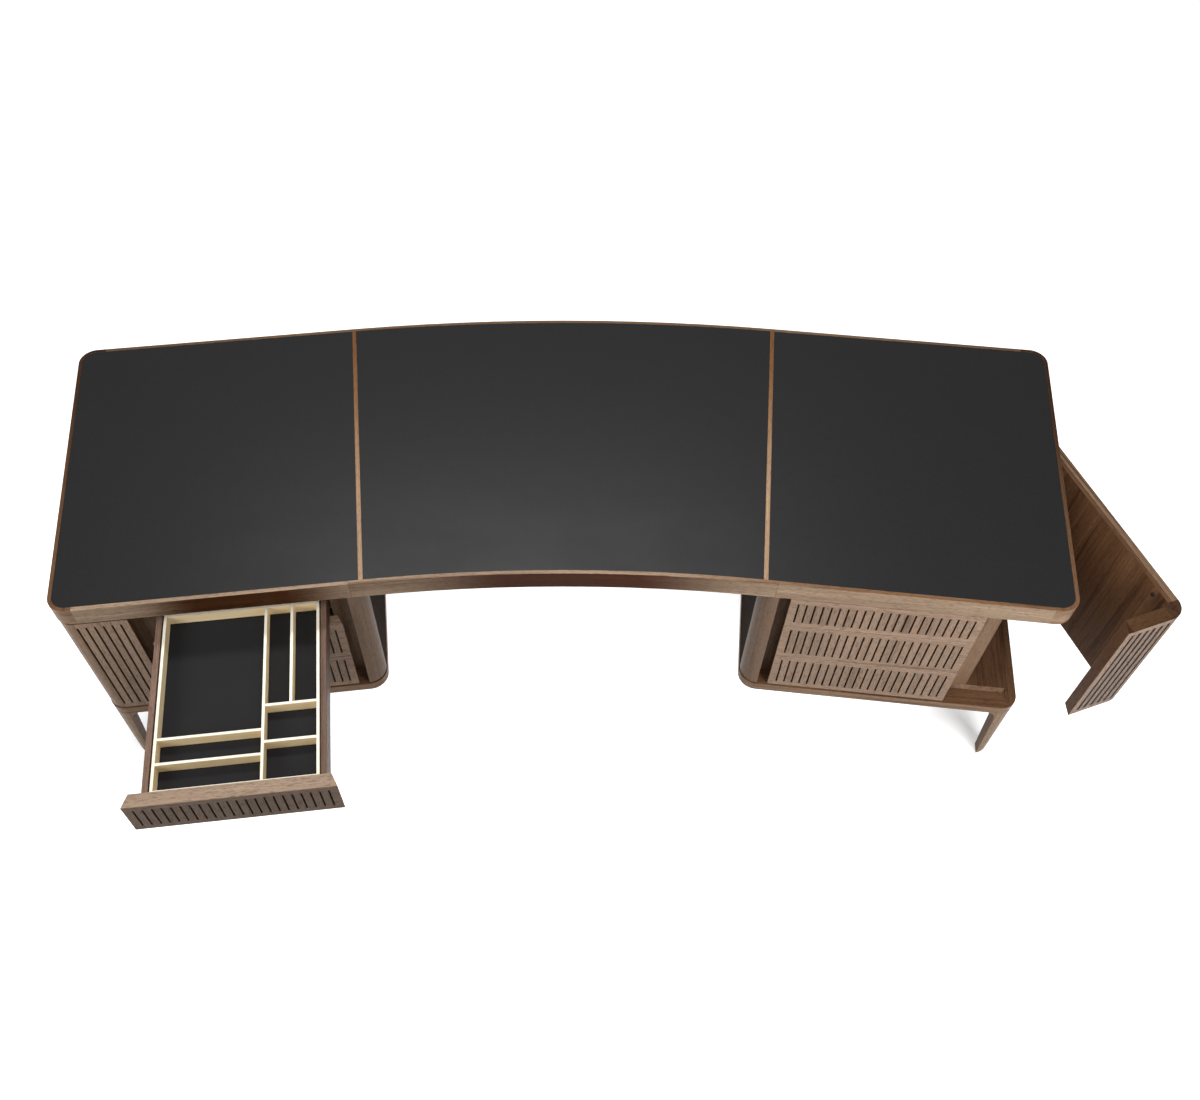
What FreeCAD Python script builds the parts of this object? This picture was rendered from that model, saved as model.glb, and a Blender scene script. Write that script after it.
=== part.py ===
import FreeCAD, Part
import math
import os

# A curved walnut desk on two pedestals, in millimetres.
# X runs to the user's right, Y to the back and Z up. The origin is on the floor,
# in the plane of symmetry, under the middle of the top's depth.
# Each pedestal is drawn in its wing's own plan: u runs outwards from the divider
# strip, d runs back from the front edge. The left wing mirrors the right one.

# Top
desk_height = 760.0
top_thickness = 59.0
top_depth = 885.0
front_radius = 4270.0
wing_angle = 6.65
wing_length = 754.5
end_flare = 0.8
top_corner_radius = 47.0
lip_front = 10.5
lip_side = 10.0
lip_joint = 60.0
edge_round = 1.5
under_ease = 1.5
strip_width = 11.0
leather_thickness = 2.5
leather_drop = 0.4

# Pedestal
pedestal_inset = 6.0
end_overhang = 2.5
back_overhang = 10.0
post_radius = 48.0
door_corner_radius = 45.0
cladding_thickness = 6.0
skin_thickness = 18.0
back_thickness = 20.0
floor_thickness = 24.5
floor_side_setback = 36.0
compartment_width = 112.0
side_thickness = 30.0

# Base frame and legs
leg_height = 245.0
base_thickness = 30.0
base_proud = 2.0
rail_width = 52.0
stretcher_place = 120.0
leg_top = 45.0
foot_size = 34.0
foot_inset = 1.0
leg_bracket = 30.0
bracket_inset = 1.0
inner_leg_setback = 225.0
bracket_root = 4.0
edge_ease = 2.0

# Drawers
front_gap = 2.0
base_gap = 5.0
grip_width = 28.0
front_thickness = 34.0
front_bevel = 13.5
front_ease = 1.0
top_front_height = 118.0
slot_count = 22
slot_side_margin = 22.65
slot_width = 4.0
slot_depth = 9.0
slot_margin = 18.0
box_inset = 30.0
box_length = 530.0
box_wall = 14.0
box_drop = 41.0
box_rise = 15.0
top_box_rise = 22.0
box_side_gap = 3.5
box_clearance = 4.0
bottom_thickness = 6.0
bottom_rise = 11.0
travel_reserve = 26.0

# Runners
runner_width = 26.0
runner_depth = 12.7
runner_inset = 3.0
runner_end_gap = 30.0
runner_wall = 1.5
runner_flange = 9.0
runner_clearance = 0.3
runner_setback = 2.0

# Organiser tray
tray_depth = 36.0
tray_wall = 7.0
tray_divider = 6.8
tray_clearance = 2.0
tray_side_gap = 3.5
tray_back_gap = 13.0
liner_thickness = 3.0
narrow_width = 122.0
narrow_cross_places = (97.0, 194.0)
wide_cross_places = (66.0, 130.0)

# Doors
door_length = 667.0
door_width = 174.0
door_front_thickness = 37.0
door_gap = 2.0
door_bevel = 13.5
groove_count = 6
groove_pitch = 21.0
groove_start = 21.0
groove_width = 4.0
groove_depth = 9.0
groove_margin = 18.0
pivot_inset = 8.0
pivot_radius = 3.0
pivot_depth = 25.0
pivot_collar_radius = 7.0
pivot_clearance = 0.05
collar_clearance = 0.3
door_open_angle = 26.3

# Levels
top_under = desk_height - top_thickness
core_top = desk_height - leather_drop - leather_thickness
base_top = leg_height + base_thickness
floor_top = base_top + floor_thickness
front_low = base_top + base_gap
front_high = top_under - front_gap
low_front_height = (front_high - front_low - top_front_height - 2 * front_gap) / 2

# Places across the pedestal
inner_face = -pedestal_inset
wall_face = inner_face + cladding_thickness
post_edge = inner_face + post_radius
outer_face = wing_length - end_overhang
door_edge = outer_face - door_width
front_start = post_edge + grip_width
front_end = door_edge - grip_width
box_start = front_start + box_inset
box_end = front_end - box_inset
bay_start = box_start - box_side_gap
bay_end = box_end + box_side_gap
door_inner_face = outer_face - side_thickness
partition_face = door_inner_face - compartment_width

# Places along the pedestal's depth
carcass_front = post_radius
pedestal_back = top_depth - back_overhang
back_face = pedestal_back - back_thickness
box_inside_front = front_thickness + box_wall
box_back = front_thickness + box_length
drawer_travel = box_length - travel_reserve
runner_length = box_length - runner_end_gap
pivot_u = outer_face - pivot_inset
pivot_d = door_length - pivot_inset

# Drawers from the bottom up: name, the front's lower edge and height, the box's lower and upper edge
low_row = front_low
middle_row = front_low + low_front_height + front_gap
top_row = front_high - top_front_height
lowest_box = floor_top + box_clearance + runner_depth
drawer_rows = (
    ("bottom", low_row, low_front_height, lowest_box, low_row + low_front_height - box_drop),
    ("middle", middle_row, low_front_height, middle_row + box_rise, top_row - front_gap - box_drop),
    ("top", top_row, top_front_height, top_row + top_box_rise, front_high - box_drop),
)
sides = ("left", "right")
open_drawer = ("left", "top")
open_door = "right"

# The wing's plan is turned about the centre of the top's curve.
arc_centre_y = -(front_radius + top_depth / 2)
up = FreeCAD.Vector(0, 0, 1)
wing_place = FreeCAD.Placement(
    FreeCAD.Vector(0, arc_centre_y, 0), FreeCAD.Rotation(up, -wing_angle)
)
wing_place = wing_place.multiply(
    FreeCAD.Placement(FreeCAD.Vector(0, front_radius, 0), FreeCAD.Rotation())
)


def mirrored(shape):
    return shape.mirror(FreeCAD.Vector(), FreeCAD.Vector(1, 0, 0))


def on_wing(shape, side):
    placed = shape.transformed(wing_place.toMatrix(), True)
    return mirrored(placed) if side == "left" else placed


def block(u0, u1, d0, d1, z0, z1):
    return Part.makeBox(u1 - u0, d1 - d0, z1 - z0, FreeCAD.Vector(u0, d0, z0))


def outline(corners, radii, z):
    # A closed wire through plan corners, each rounded by its own radius.
    points = [FreeCAD.Vector(x, y, z) for x, y in corners]
    ends = []
    for i, corner in enumerate(points):
        to_last = (points[i - 1] - corner).normalize()
        to_next = (points[(i + 1) % len(points)] - corner).normalize()
        half = to_last.getAngle(to_next) / 2
        bisector = (to_last + to_next).normalize()
        tangent = radii[i] / math.tan(half)
        centre = corner + bisector * (radii[i] / math.sin(half))
        ends.append((corner + to_last * tangent, centre - bisector * radii[i], corner + to_next * tangent))
    edges = []
    for i, (start, middle, finish) in enumerate(ends):
        if radii[i] > 0:
            edges.append(Part.Arc(start, middle, finish).toShape())
        following = ends[(i + 1) % len(ends)][0]
        if (following - finish).Length > 1e-6:
            edges.append(Part.LineSegment(finish, following).toShape())
    return Part.Wire(edges)


def prism(corners, z0, z1, radii=None):
    wire = outline(corners, radii or [0] * len(corners), z0)
    return Part.Face(wire).extrude(up * (z1 - z0))


def rectangle(u0, u1, d0, d1):
    return [(u0, d0), (u1, d0), (u1, d1), (u0, d1)]


def sector(r0, r1, z0, z1):
    # The curved middle of the top between two radii, out to both divider strips.
    def point(radius, angle):
        turn = math.radians(angle)
        return FreeCAD.Vector(radius * math.sin(turn), arc_centre_y + radius * math.cos(turn), z0)

    def arc(radius):
        return Part.Arc(*(point(radius, a) for a in (-wing_angle, 0, wing_angle))).toShape()

    sides_of_sector = [
        Part.LineSegment(point(r0, a), point(r1, a)).toShape() for a in (-wing_angle, wing_angle)
    ]
    wire = Part.Wire(Part.__sortEdges__([arc(r0), arc(r1)] + sides_of_sector))
    return Part.Face(wire).extrude(up * (z1 - z0))


def level_edges(shape, keep):
    return [e for e in shape.Edges if e.BoundBox.ZLength < 1e-6 and keep(e)]


def cut_all(shape, tools):
    return shape.cut(Part.makeCompound(tools))


# Top

def end_u(d):
    return wing_length + (d - lip_front) * math.tan(math.radians(end_flare))


def wing_corners(front, back, side):
    return [(0, front), (end_u(front) - side, front), (end_u(back) - side, back), (0, back)]


def eased_slab(slab, keep):
    # Rounds the upper outer edges and eases the lower ones.
    upper = level_edges(slab, lambda e: keep(e) and e.BoundBox.ZMin > top_under)
    slab = slab.makeFillet(edge_round, upper)
    lower = level_edges(slab, lambda e: keep(e) and e.BoundBox.ZMax < top_under + under_ease)
    return slab.makeChamfer(under_ease, lower)


def wing_slab():
    slab = prism(
        wing_corners(0, top_depth, 0),
        top_under,
        desk_height,
        [0, top_corner_radius, top_corner_radius, 0],
    )
    return eased_slab(slab, lambda e: e.BoundBox.XMax > strip_width)


def wing_inside(z0, z1):
    inner_radius = top_corner_radius - lip_side
    return prism(
        wing_corners(lip_front, top_depth - lip_side, lip_side),
        z0,
        z1,
        [0, inner_radius, inner_radius, 0],
    )


def wing_board(z0, z1):
    return wing_inside(z0, z1).cut(divider_strip(z0, z1))


def divider_strip(z0, z1):
    half = strip_width / 2
    return block(-half, half, lip_front, top_depth - lip_side - pivot_clearance, z0, z1)


def centre_board(z0, z1):
    board = sector(front_radius + lip_front, front_radius + top_depth - lip_side, z0, z1)
    return cut_all(board, [on_wing(divider_strip(z0, z1), side) for side in sides])


def make_top():
    wing_lip = wing_slab().cut(wing_inside(top_under, desk_height))
    middle = sector(front_radius, front_radius + top_depth, top_under, desk_height)
    middle = eased_slab(middle, lambda e: isinstance(e.Curve, Part.Circle))
    joint = wing_length - lip_joint
    half_depth = top_depth / 2
    front_zone = block(0, joint, -edge_round, half_depth, 0, desk_height)
    back_zone = block(0, joint, half_depth, 2 * top_depth, 0, desk_height)
    end_zone = block(joint, 2 * wing_length, -edge_round, 2 * top_depth, 0, desk_height)
    back_inside = front_radius + top_depth - lip_side
    middle_front = middle.common(
        sector(front_radius - lip_front, front_radius + lip_front, top_under, desk_height)
    )
    middle_back = middle.common(
        sector(back_inside, back_inside + 2 * lip_side, top_under, desk_height)
    )

    def both_wings(shape):
        return [on_wing(shape, side) for side in sides]

    bore = pivot_bore(top_under, top_under + pivot_depth)
    core = wing_board(top_under, core_top).cut(bore)
    leather = wing_board(core_top, core_top + leather_thickness)
    return {
        "top_core": both_wings(core) + [centre_board(top_under, core_top)],
        "edge_front": both_wings(wing_lip.common(front_zone)) + [middle_front],
        "edge_back": both_wings(wing_lip.common(back_zone)) + [middle_back],
        "edge_ends": both_wings(wing_lip.common(end_zone)),
        "divider_strips": both_wings(divider_strip(top_under, desk_height)),
        "leather_left": [on_wing(leather, "left")],
        "leather_centre": [centre_board(core_top, core_top + leather_thickness)],
        "leather_right": [on_wing(leather, "right")],
    }


# Base frame and legs

def base_outline():
    low = inner_face - base_proud
    high = outer_face + base_proud
    corners = rectangle(low, high, -base_proud, pedestal_back + base_proud)
    inner_round = post_radius + base_proud
    outer_round = door_corner_radius + base_proud
    return corners, [inner_round, outer_round, outer_round, inner_round]


def make_base():
    corners, radii = base_outline()
    frame = prism(corners, leg_height, base_top, radii)
    frame = frame.makeChamfer(edge_ease / 2, level_edges(frame, lambda e: True))
    low_d = rail_width - base_proud
    high_d = pedestal_back + base_proud - rail_width
    first = inner_face - base_proud + rail_width
    last = outer_face + base_proud - rail_width
    bays = [
        block(first, stretcher_place, low_d, high_d, 0, desk_height),
        block(stretcher_place + rail_width, last, low_d, high_d, 0, desk_height),
        pivot_bore(base_top - pivot_depth, base_top),
    ]
    return cut_all(frame, bays)


def tapered(top_plan, foot_plan):
    # A straight-sided leg between two plans whose edges are parallel.
    top = [FreeCAD.Vector(u, d, leg_height) for u, d in top_plan]
    foot = [FreeCAD.Vector(u, d, 0) for u, d in foot_plan]
    loops = [top, foot]
    for i in range(len(top)):
        loops.append([foot[i - 1], foot[i], top[i], top[i - 1]])
    faces = [Part.Face(Part.makePolygon(loop + loop[:1])) for loop in loops]
    return Part.Solid(Part.Shell(faces))


def bracket(root, away, across):
    # The cove between a leg and its rail: away points along the rail, across through the leg.
    cove = leg_bracket * (1 - math.sqrt(0.5))
    low = root - up * leg_bracket
    tip = root + away * leg_bracket
    middle = root + (away - up) * cove
    inside = root - away * bracket_root
    inside_low = low - away * bracket_root
    edges = [
        Part.Arc(low, middle, tip).toShape(),
        Part.LineSegment(tip, inside).toShape(),
        Part.LineSegment(inside, inside_low).toShape(),
        Part.LineSegment(inside_low, low).toShape(),
    ]
    return Part.Face(Part.Wire(edges)).extrude(across)


def outer_leg():
    # A quarter of a cone under the rounded corner of the frame, with two sloping inner faces.
    radius = door_corner_radius + base_proud
    centre_u = outer_face - door_corner_radius
    centre_d = door_corner_radius
    cone = Part.makeCone(
        radius - foot_inset, radius, leg_height, FreeCAD.Vector(centre_u, centre_d, 0)
    )

    def plan(inset):
        u, d = centre_u + inset, centre_d - inset
        far_u, far_d = centre_u + 2 * radius, centre_d - 2 * radius
        return [(u, far_d), (far_u, far_d), (far_u, d), (u + edge_ease, d), (u, d - edge_ease)]

    leg = cone.common(tapered(plan(0), plan(radius - foot_inset - foot_size)))
    low = base_proud - bracket_inset
    span = radius - 2 * bracket_inset
    along_front = bracket(
        FreeCAD.Vector(centre_u, -low, leg_height),
        FreeCAD.Vector(-1, 0, 0),
        FreeCAD.Vector(0, span, 0),
    )
    along_side = bracket(
        FreeCAD.Vector(outer_face + low, centre_d, leg_height),
        FreeCAD.Vector(0, 1, 0),
        FreeCAD.Vector(-span, 0, 0),
    )
    return leg.multiFuse([along_front, along_side]).removeSplitter()


def inner_leg():
    centre_u = stretcher_place + rail_width / 2
    centre_d = inner_leg_setback

    def plan(size):
        far = size / 2
        near = far - edge_ease
        spans = [(-near, -far), (near, -far), (far, -near), (far, near)]
        spans += [(near, far), (-near, far), (-far, near), (-far, -near)]
        return [(centre_u + u, centre_d + d) for u, d in spans]

    return tapered(plan(leg_top), plan(foot_size))


def make_legs():
    fronts = [outer_leg(), inner_leg()]
    middle = FreeCAD.Vector(0, pedestal_back / 2, 0)
    return fronts + [leg.mirror(middle, FreeCAD.Vector(0, 1, 0)) for leg in fronts]


# Carcass

def make_posts():
    rear = pedestal_back - post_radius
    outer_low = outer_face - door_corner_radius
    outer_rear = pedestal_back - door_corner_radius
    plans = [
        (rectangle(inner_face, post_edge, 0, carcass_front), [post_radius, 0, 0, 0]),
        (rectangle(inner_face, post_edge, rear, pedestal_back), [0, 0, 0, post_radius]),
        (rectangle(outer_low, outer_face, outer_rear, pedestal_back), [0, 0, door_corner_radius, 0]),
    ]
    return [prism(corners, front_low, top_under, radii) for corners, radii in plans]


def make_floor():
    panel = block(
        wall_face, outer_face - floor_side_setback, carcass_front, back_face, base_top, floor_top
    )
    return cut_all(panel, make_posts())


def hollow_wall(low, high, low_back):
    # Two skins joined by a front strip; the skin at the low side may end sooner.
    front = carcass_front
    inside = front + skin_thickness
    corners = [
        (low, front),
        (high, front),
        (high, back_face),
        (high - skin_thickness, back_face),
        (high - skin_thickness, inside),
        (low + skin_thickness, inside),
        (low + skin_thickness, low_back),
        (low, low_back),
    ]
    return prism(corners, floor_top, top_under)


def make_carcass():
    post_front = pedestal_back - post_radius
    return {
        "floor_panel": [make_floor()],
        "inner_wall": [hollow_wall(wall_face, bay_start, post_front)],
        "partition": [hollow_wall(bay_end, partition_face, back_face)],
        "inner_cladding": [
            block(inner_face, wall_face, carcass_front, post_front, front_low, top_under)
        ],
        "corner_posts": make_posts(),
        "back_panel": [
            block(
                post_edge,
                outer_face - door_corner_radius,
                back_face,
                pedestal_back,
                front_low,
                top_under,
            )
        ],
        "rear_side_panel": [
            block(
                door_inner_face,
                outer_face,
                door_length + door_gap,
                pedestal_back - door_corner_radius,
                front_low,
                top_under,
            )
        ],
        "base_frame": [make_base()],
        "legs": make_legs(),
    }


# Drawers and runners

def slots(centre, count, pitch, width, depth, z0, z1):
    first = centre - (count - 1) * pitch / 2
    cuts = []
    for i in range(count):
        middle = first + i * pitch
        cuts.append(block(middle - width / 2, middle + width / 2, -depth, depth, z0, z1))
    return cuts


def drawer_front(z0, height):
    corners = [
        (front_start, 0),
        (front_end, 0),
        (front_end - front_bevel, front_thickness),
        (front_start + front_bevel, front_thickness),
    ]
    panel = prism(corners, z0, z0 + height)
    face_edges = [e for e in panel.Edges if e.BoundBox.YMax < front_ease]
    panel = panel.makeChamfer(front_ease, face_edges)
    low = z0 + slot_margin
    high = z0 + height - slot_margin
    centre = (front_start + front_end) / 2
    slot_pitch = (front_end - front_start - 2 * slot_side_margin) / (slot_count - 1)
    return cut_all(panel, slots(centre, slot_count, slot_pitch, slot_width, slot_depth, low, high))


def drawer_box(z0, z1):
    inside_low = box_start + box_wall
    inside_high = box_end - box_wall
    inside_back = box_back - box_wall
    bottom = z0 + bottom_rise
    return [
        block(box_start, inside_low, front_thickness, box_back, z0, z1),
        block(inside_high, box_end, front_thickness, box_back, z0, z1),
        block(inside_low, inside_high, front_thickness, box_inside_front, z0, z1),
        block(inside_low, inside_high, inside_back, box_back, z0, z1),
        block(inside_low, inside_high, box_inside_front, inside_back, bottom, bottom + bottom_thickness),
    ]


def channel(level, d0, web):
    # One member of a runner that lies under the box. level is 0 at the cabinet, 1 between, 2 at the drawer.
    step = runner_wall + runner_clearance
    near = box_start + runner_inset + level * step
    far = box_start + runner_inset + runner_width - level * step
    low = level * step
    high = runner_depth - (2 - level) * step
    inner_low = low + (runner_wall if web == "below" else 0)
    inner_high = high - (runner_wall if web == "above" else 0)
    back = d0 + runner_length
    member = block(near, far, d0, back, low, high)
    return member.cut(block(near + runner_wall, far - runner_wall, d0, back, inner_low, inner_high))


def wall_bracket(d0):
    # Carries a cabinet member from the bay's wall, under the side of the box.
    back = d0 + runner_length
    shelf = block(bay_start, box_start + runner_inset + runner_wall, d0, back, 0, runner_wall)
    return shelf.fuse(block(bay_start, bay_start + runner_wall, d0, back, 0, runner_flange))


def both_runners(first):
    middle = FreeCAD.Vector((bay_start + bay_end) / 2, 0, 0)
    return [first, first.mirror(middle, FreeCAD.Vector(1, 0, 0))]


def moved(shapes, d, z):
    placed = []
    for shape in shapes:
        copy = shape.copy()
        copy.translate(FreeCAD.Vector(0, d, z))
        placed.append(copy)
    return placed


def make_drawer(z0, height, box_low, box_high, opened):
    runner_level = box_low - runner_depth
    drawer_pair = both_runners(channel(2, front_thickness + runner_setback, "above"))
    mid_pair = both_runners(channel(1, carcass_front + runner_setback, "below"))
    return {
        "front": moved([drawer_front(z0, height)], -opened, 0),
        "box": moved(drawer_box(box_low, box_high), -opened, 0),
        "drawer_rails": moved(drawer_pair, -opened, runner_level),
        "mid_rails": moved(mid_pair, -opened / 2, runner_level),
    }


def make_cabinet_rails():
    d0 = carcass_front + runner_setback
    pair = both_runners(channel(0, d0, "below").fuse(wall_bracket(d0)).removeSplitter())
    rails = []
    for name, z0, height, box_low, box_high in drawer_rows:
        rails += moved(pair, 0, box_low - runner_depth)
    return rails


# Organiser tray

def make_tray(z0):
    # z0 is the top of the drawer's bottom panel.
    low = box_start + box_wall + tray_side_gap
    high = box_end - box_wall - tray_side_gap
    front = box_inside_front + tray_clearance
    back = box_back - box_wall - tray_back_gap
    rim = z0 + tray_depth
    floor = z0 + liner_thickness
    inside_low = low + tray_wall
    inside_high = high - tray_wall
    inside_front = front + tray_wall
    inside_back = back - tray_wall
    half = tray_divider / 2
    narrow_end = inside_low + narrow_width
    short_place = inside_low + narrow_width / 2
    short_front = inside_front + narrow_cross_places[-1] + half
    pieces = [
        block(low, inside_low, front, back, z0, rim),
        block(inside_high, high, front, back, z0, rim),
        block(inside_low, inside_high, front, inside_front, z0, rim),
        block(inside_low, inside_high, inside_back, back, z0, rim),
        block(narrow_end, narrow_end + tray_divider, inside_front, inside_back, floor, rim),
        block(short_place - half, short_place + half, short_front, inside_back, floor, rim),
    ]
    crossings = [(inside_low, narrow_end, place) for place in narrow_cross_places]
    crossings += [(narrow_end + tray_divider, inside_high, place) for place in wide_cross_places]
    for low_u, high_u, place in crossings:
        cross_d = inside_front + place
        pieces.append(block(low_u, high_u, cross_d - half, cross_d + half, floor, rim))
    liner = block(inside_low, inside_high, inside_front, inside_back, z0, floor)
    return {"organiser_tray": pieces, "tray_liner": [liner]}


# Doors and their pivots

def pivot_cylinder(radius, z0, z1):
    return Part.makeCylinder(radius, z1 - z0, FreeCAD.Vector(pivot_u, pivot_d, z0))


def pivot_bore(z0, z1):
    return pivot_cylinder(pivot_radius + pivot_clearance, z0, z1)


def make_pins():
    lower = pivot_cylinder(pivot_radius, base_top - pivot_depth, front_low + pivot_depth)
    collar = pivot_cylinder(pivot_collar_radius, base_top, front_low - collar_clearance)
    upper = pivot_cylinder(pivot_radius, front_high - pivot_depth, top_under + pivot_depth)
    return [lower.fuse(collar).removeSplitter(), upper]


def make_door(angle):
    corner_low = outer_face - door_corner_radius
    deep = pivot_depth + collar_clearance
    side = prism(
        rectangle(door_inner_face, outer_face, door_corner_radius, door_length),
        front_low,
        front_high,
        [0, 0, pivot_inset, 0],
    )
    bores = [pivot_bore(front_low, front_low + deep), pivot_bore(front_high - deep, front_high)]
    corner = prism(
        rectangle(corner_low, outer_face, 0, door_corner_radius),
        front_low,
        front_high,
        [0, door_corner_radius, 0, 0],
    )
    plan = [
        (door_edge, 0),
        (corner_low, 0),
        (corner_low, door_front_thickness),
        (door_edge + door_bevel, door_front_thickness),
    ]
    front = prism(plan, front_low, front_high)
    upright = [e for e in front.Edges if e.BoundBox.ZLength > front_ease]
    front = front.makeChamfer(front_ease, [e for e in upright if e.BoundBox.XMax < corner_low])
    centre = door_edge + groove_start + (groove_count - 1) * groove_pitch / 2
    low = front_low + groove_margin
    high = front_high - groove_margin
    grooves = slots(centre, groove_count, groove_pitch, groove_width, groove_depth, low, high)
    pieces = {
        "door_side": cut_all(side, bores),
        "door_corner": corner,
        "door_front": cut_all(front, grooves),
    }
    for shape in pieces.values():
        shape.rotate(FreeCAD.Vector(pivot_u, pivot_d, 0), up, angle)
    return {name: [shape] for name, shape in pieces.items()}


# Assembly

def make_side(side):
    nodes = {}
    for name, shapes in make_carcass().items():
        nodes[f"{side}_{name}"] = shapes
    for row, z0, height, box_low, box_high in drawer_rows:
        opened = drawer_travel if (side, row) == open_drawer else 0
        for name, shapes in make_drawer(z0, height, box_low, box_high, opened).items():
            nodes[f"{side}_{row}_{name}"] = shapes
        if opened:
            tray_level = box_low + bottom_rise + bottom_thickness
            for name, shapes in make_tray(tray_level).items():
                nodes[name] = moved(shapes, -opened, 0)
    angle = door_open_angle if side == open_door else 0
    for name, shapes in make_door(angle).items():
        nodes[f"{side}_{name}"] = shapes
    return {name: [on_wing(s, side) for s in shapes] for name, shapes in nodes.items()}


def make_desk():
    nodes = make_top()
    for side in sides:
        nodes.update(make_side(side))
    nodes["cabinet_rails"] = [on_wing(s, side) for side in sides for s in make_cabinet_rails()]
    nodes["pivot_pins"] = [on_wing(s, side) for side in sides for s in make_pins()]
    return nodes


os.makedirs("parts", exist_ok=True)
for node, shapes in make_desk().items():
    whole = shapes[0] if len(shapes) == 1 else Part.makeCompound(shapes)
    whole.exportStep(f"parts/{node}.step")
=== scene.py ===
import math

import bmesh
import bpy
from mathutils import Matrix, Vector


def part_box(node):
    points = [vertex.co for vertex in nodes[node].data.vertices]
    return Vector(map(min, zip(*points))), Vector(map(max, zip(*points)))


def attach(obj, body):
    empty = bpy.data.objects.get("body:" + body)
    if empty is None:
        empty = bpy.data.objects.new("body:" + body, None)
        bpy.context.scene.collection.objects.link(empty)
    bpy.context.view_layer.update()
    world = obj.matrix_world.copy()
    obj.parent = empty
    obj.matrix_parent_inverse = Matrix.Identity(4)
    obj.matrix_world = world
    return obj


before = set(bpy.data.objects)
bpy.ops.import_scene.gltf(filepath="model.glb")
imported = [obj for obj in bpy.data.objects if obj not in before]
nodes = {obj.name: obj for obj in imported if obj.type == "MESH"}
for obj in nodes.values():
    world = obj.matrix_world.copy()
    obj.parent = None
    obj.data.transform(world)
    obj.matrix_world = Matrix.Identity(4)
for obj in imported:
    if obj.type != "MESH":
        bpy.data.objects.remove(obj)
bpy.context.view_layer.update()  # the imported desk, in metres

sides = {"left": -1, "right": 1}  # the way out from the middle


# Node helpers

vectorSocket = "NodeSocketVector"
colourSocket = "NodeSocketColor"
valueSocket = "NodeSocketFloat"
noiseBand = (0.3, 0.7)  # most of a noise's values lie in this range


def addNode(tree, kind, **settings):
    node = tree.nodes.new(kind)
    for key, value in settings.items():
        setattr(node, key, value)
    return node


def feed(tree, socket, value):
    # a socket is linked, anything else is written in
    if isinstance(value, bpy.types.NodeSocket):
        tree.links.new(value, socket)
    else:
        socket.default_value = value


def calc(tree, operation, *values):
    node = addNode(tree, "ShaderNodeMath", operation=operation)
    for socket, value in zip(node.inputs, values):
        feed(tree, socket, value)
    return node.outputs[0]


def vectorCalc(tree, operation, *values):
    node = addNode(tree, "ShaderNodeVectorMath", operation=operation)
    for socket, value in zip(node.inputs, values):
        feed(tree, socket, value)
    return node.outputs[0]


def ramp(tree, value, low, high, outLow=0.0, outHigh=1.0):
    node = addNode(tree, "ShaderNodeMapRange", interpolation_type="SMOOTHSTEP")
    amounts = {"Value": value, "From Min": low, "From Max": high, "To Min": outLow, "To Max": outHigh}
    for label, amount in amounts.items():
        feed(tree, node.inputs[label], amount)
    return node.outputs["Result"]


def mixColour(tree, amount, first, second, blend="MIX"):
    node = addNode(tree, "ShaderNodeMix", data_type="RGBA", blend_type=blend)
    feed(tree, node.inputs[0], amount)
    feed(tree, node.inputs[6], first)
    feed(tree, node.inputs[7], second)
    return node.outputs[2]


def mixVector(tree, amount, first, second):
    node = addNode(tree, "ShaderNodeMix", data_type="VECTOR")
    feed(tree, node.inputs[0], amount)
    feed(tree, node.inputs[4], first)
    feed(tree, node.inputs[5], second)
    return node.outputs[1]


def scaleColour(tree, colour, amount):
    node = addNode(tree, "ShaderNodeVectorMath", operation="SCALE")
    feed(tree, node.inputs[0], colour)
    feed(tree, node.inputs["Scale"], amount)
    return node.outputs[0]


def split(tree, vector):
    # outputs named X, Y and Z
    node = addNode(tree, "ShaderNodeSeparateXYZ")
    feed(tree, node.inputs[0], vector)
    return node.outputs


def join(tree, x, y, z):
    node = addNode(tree, "ShaderNodeCombineXYZ")
    for socket, value in zip(node.inputs, (x, y, z)):
        feed(tree, socket, value)
    return node.outputs[0]


def noise(tree, vector, cells, detail=2.0, roughness=0.5, output="Fac"):
    # cells per metre, one number for each axis
    node = addNode(tree, "ShaderNodeTexNoise")
    feed(tree, node.inputs["Vector"], vectorCalc(tree, "MULTIPLY", vector, cells))
    node.inputs["Scale"].default_value = 1.0
    node.inputs["Detail"].default_value = detail
    node.inputs["Roughness"].default_value = roughness
    return node.outputs[output]


def nearest(tree, value, low, high):
    # how far a value lies inside a range, negative outside it
    return calc(tree, "MINIMUM", calc(tree, "SUBTRACT", value, low), calc(tree, "SUBTRACT", high, value))


def newGroup(name, inputs, outputs):
    tree = bpy.data.node_groups.new(name, "ShaderNodeTree")
    for label, kind, start in inputs:
        socket = tree.interface.new_socket(label, in_out="INPUT", socket_type=kind)
        socket.default_value = start
    for label, kind in outputs:
        tree.interface.new_socket(label, in_out="OUTPUT", socket_type=kind)
    given = addNode(tree, "NodeGroupInput").outputs
    result = addNode(tree, "NodeGroupOutput").inputs
    return tree, given, result


def valueGroup(name, inputs, outputs):
    # every socket of the group is a plain value
    starts = [(label, valueSocket, 0.0) for label in inputs]
    return newGroup(name, starts, [(label, valueSocket) for label in outputs])


def placeGroup(tree, group, **values):
    node = addNode(tree, "ShaderNodeGroup", node_tree=group)
    for label, value in values.items():
        feed(tree, node.inputs[label], value)
    return node.outputs


# The desk's own plan: run along the front, depth behind the front edge, height

deskPlan = {
    "wingAngle": math.radians(6.65),
    "frontRadius": 4.270,
    "depth": 0.885,
}
deskPlan["centreY"] = -(deskPlan["frontRadius"] + deskPlan["depth"] / 2)
deskPlan["wingStart"] = deskPlan["frontRadius"] * deskPlan["wingAngle"]


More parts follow.
